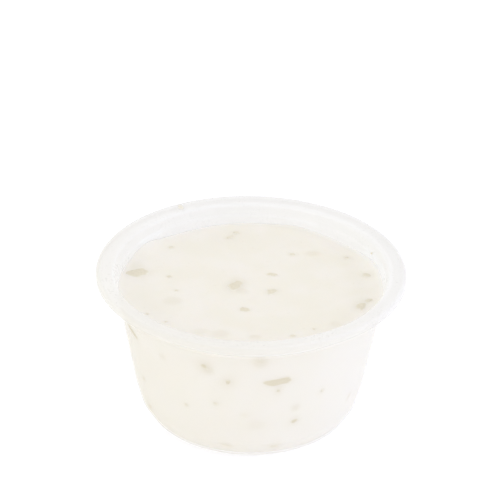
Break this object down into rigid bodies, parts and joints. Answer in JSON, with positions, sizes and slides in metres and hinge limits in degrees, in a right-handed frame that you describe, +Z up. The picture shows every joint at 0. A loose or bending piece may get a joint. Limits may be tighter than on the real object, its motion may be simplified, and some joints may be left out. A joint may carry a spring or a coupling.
{
  "type": "dish of blue cheese dip",
  "caption": "Round translucent plastic portion cup with a rolled rim, filled almost to the brim with cream-coloured dip that has cheese crumbs in it.",
  "frame": {"origin": "middle of the cup's underside, at the height of the foot it stands on", "axes": "+Z up along the axis of the cup, -Y towards the viewer of the picture, +X to the viewer's right"},
  "size_m": [0.0746, 0.0746, 0.0381],
  "materials": {
    "milky_plastic": "translucent milky polypropylene, softly glossy",
    "creamy_dip": null
  },
  "bodies": {
    "root": {"cup": "milky_plastic", "dip": "creamy_dip"}
  },
  "joints": []
}
